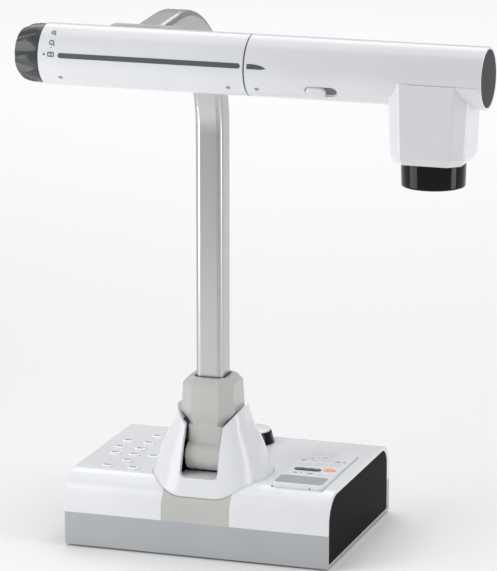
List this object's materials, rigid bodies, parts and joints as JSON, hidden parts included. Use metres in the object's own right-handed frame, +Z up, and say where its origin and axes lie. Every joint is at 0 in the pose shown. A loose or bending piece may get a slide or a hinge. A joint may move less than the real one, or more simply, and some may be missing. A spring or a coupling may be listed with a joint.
{
  "type": "document camera",
  "caption": "Desktop document camera: weighted base with keys and a zoom dial, a bent aluminium arm that folds forward, and a tubular head with a downward lens.",
  "frame": {"origin": "middle of the base footprint, on the table under the feet", "axes": "+X along the head tube towards the lens, -Y the front of the base, +Z up"},
  "size_m": [0.4455, 0.3748, 0.5305],
  "materials": {
    "white_gloss": "glossy cool white ABS",
    "grey_band": "satin moulded grey",
    "warm_grey": "satin warm light grey",
    "cast_grey": "die-cast, satin warm grey paint",
    "black_panel": "glossy black",
    "black_plastic": "matte black",
    "rubber": "matte",
    "steel": "zinc plated",
    "socket_metal": "plated shell",
    "circuit_board": "solder mask",
    "brass": "machined",
    "satin_aluminium": "satin anodised",
    "barrel_metal": "black anodised",
    "accent_grey": "satin dark grey",
    "end_disc_grey": "satin dark grey",
    "gloss_black": "piano black",
    "lens_glass": "coated",
    "dial_grey": "satin dark grey grip",
    "key_white": "glossy white"
  },
  "bodies": {
    "base": {"bottom_tray": "grey_band", "top_cover": "white_gloss", "front_insert": "grey_band", "left_side_panel": "black_panel", "right_side_panel": "black_panel", "rear_panel": "grey_band", "rubber_feet": "rubber", "base_screws": "steel", "ballast_plate": "steel", "main_board": "circuit_board", "hdmi_sockets": "socket_metal", "usb_sockets": "socket_metal", "network_jack": "black_plastic", "power_inlet": "black_plastic", "pedestal_cover": "white_gloss", "hinge_bracket": "steel", "hinge_pin": "steel", "key_board": "circuit_board", "zoom_encoder": "black_plastic"},
    "arm": {"arm_root": "cast_grey", "hinge_bushes": "brass", "arm_collar": "warm_grey", "collar_screws": "steel", "arm_column": "satin_aluminium", "head_cable": "black_plastic", "saddle_bracket": "warm_grey", "fixed_tube_upper": "white_gloss", "fixed_tube_lower": "white_gloss", "accent_strip": "accent_grey", "tube_screws": "steel", "bearing_ring": "black_plastic", "mode_encoder": "black_plastic"},
    "camera_head": {"head_upper_cover": "white_gloss", "head_lower_cover": "white_gloss", "accent_tip": "accent_grey", "end_disc": "end_disc_grey", "lens_ring": "gloss_black", "lens_glass": "lens_glass", "lens_barrel": "barrel_metal", "sensor_board": "circuit_board", "swivel_shaft": "black_plastic"},
    "mode_dial": {"mode_dial": "dial_grey", "dial_shaft": "steel"},
    "lock_slider": {"lock_slider": "white_gloss"},
    "zoom_dial": {"zoom_dial_skirt": "gloss_black", "zoom_dial_cap": "white_gloss"},
    "remote": {"remote_lower_case": "white_gloss", "remote_upper_case": "white_gloss"},
    "key_01": {"key_01": "key_white"},
    "key_02": {"key_02": "key_white"},
    "key_03": {"key_03": "key_white"},
    "key_04": {"key_04": "key_white"},
    "key_05": {"key_05": "key_white"},
    "key_06": {"key_06": "key_white"},
    "key_07": {"key_07": "key_white"},
    "key_08": {"key_08": "key_white"},
    "key_09": {"key_09": "key_white"},
    "key_10": {"key_10": "key_white"},
    "key_11": {"key_11": "key_white"},
    "key_12": {"key_12": "key_white"}
  },
  "joints": [
    {"name": "arm_fold", "type": "hinge", "parent": "base", "child": "arm", "pos_m": [0, -0.063, 0.091], "axis": [1, 0, 0], "range_deg": [0, 69]},
    {"name": "head_swivel", "type": "hinge", "parent": "arm", "child": "camera_head", "pos_m": [0.1031, -0.242, 0.5007], "axis": [1, 0, 0], "range_deg": [-100, 90]},
    {"name": "mode_turn", "type": "hinge", "parent": "arm", "child": "mode_dial", "pos_m": [-0.1, -0.242, 0.5007], "axis": [1, 0, 0], "range_deg": [0, 60]},
    {"name": "lock_slide", "type": "slide", "parent": "camera_head", "child": "lock_slider", "axis": [1, 0, 0], "range_m": [0, 0.0055]},
    {"name": "zoom_turn", "type": "hinge", "parent": "base", "child": "zoom_dial", "pos_m": [0.0045, 0.061, 0.08], "axis": [0, 0, 1], "continuous": true},
    {"name": "remote_lift", "type": "slide", "parent": "base", "child": "remote", "axis": [0, 0, 1], "range_m": [0, 0.03]},
    {"name": "press_key_01", "type": "slide", "parent": "base", "child": "key_01", "axis": [0, 0, -1], "range_m": [0, 0.0007], "stiffness_N_per_m": 500, "springref_m": -0.001},
    {"name": "press_key_02", "type": "slide", "parent": "base", "child": "key_02", "axis": [0, 0, -1], "range_m": [0, 0.0007], "stiffness_N_per_m": 500, "springref_m": -0.001},
    {"name": "press_key_03", "type": "slide", "parent": "base", "child": "key_03", "axis": [0, 0, -1], "range_m": [0, 0.0007], "stiffness_N_per_m": 500, "springref_m": -0.001},
    {"name": "press_key_04", "type": "slide", "parent": "base", "child": "key_04", "axis": [0, 0, -1], "range_m": [0, 0.0007], "stiffness_N_per_m": 500, "springref_m": -0.001},
    {"name": "press_key_05", "type": "slide", "parent": "base", "child": "key_05", "axis": [0, 0, -1], "range_m": [0, 0.0007], "stiffness_N_per_m": 500, "springref_m": -0.001},
    {"name": "press_key_06", "type": "slide", "parent": "base", "child": "key_06", "axis": [0, 0, -1], "range_m": [0, 0.0007], "stiffness_N_per_m": 500, "springref_m": -0.001},
    {"name": "press_key_07", "type": "slide", "parent": "base", "child": "key_07", "axis": [0, 0, -1], "range_m": [0, 0.0007], "stiffness_N_per_m": 500, "springref_m": -0.001},
    {"name": "press_key_08", "type": "slide", "parent": "base", "child": "key_08", "axis": [0, 0, -1], "range_m": [0, 0.0007], "stiffness_N_per_m": 500, "springref_m": -0.001},
    {"name": "press_key_09", "type": "slide", "parent": "base", "child": "key_09", "axis": [0, 0, -1], "range_m": [0, 0.0007], "stiffness_N_per_m": 500, "springref_m": -0.001},
    {"name": "press_key_10", "type": "slide", "parent": "base", "child": "key_10", "axis": [0, 0, -1], "range_m": [0, 0.0007], "stiffness_N_per_m": 500, "springref_m": -0.001},
    {"name": "press_key_11", "type": "slide", "parent": "base", "child": "key_11", "axis": [0, 0, -1], "range_m": [0, 0.0007], "stiffness_N_per_m": 500, "springref_m": -0.001},
    {"name": "press_key_12", "type": "slide", "parent": "base", "child": "key_12", "axis": [0, 0, -1], "range_m": [0, 0.0007], "stiffness_N_per_m": 500, "springref_m": -0.001}
  ]
}
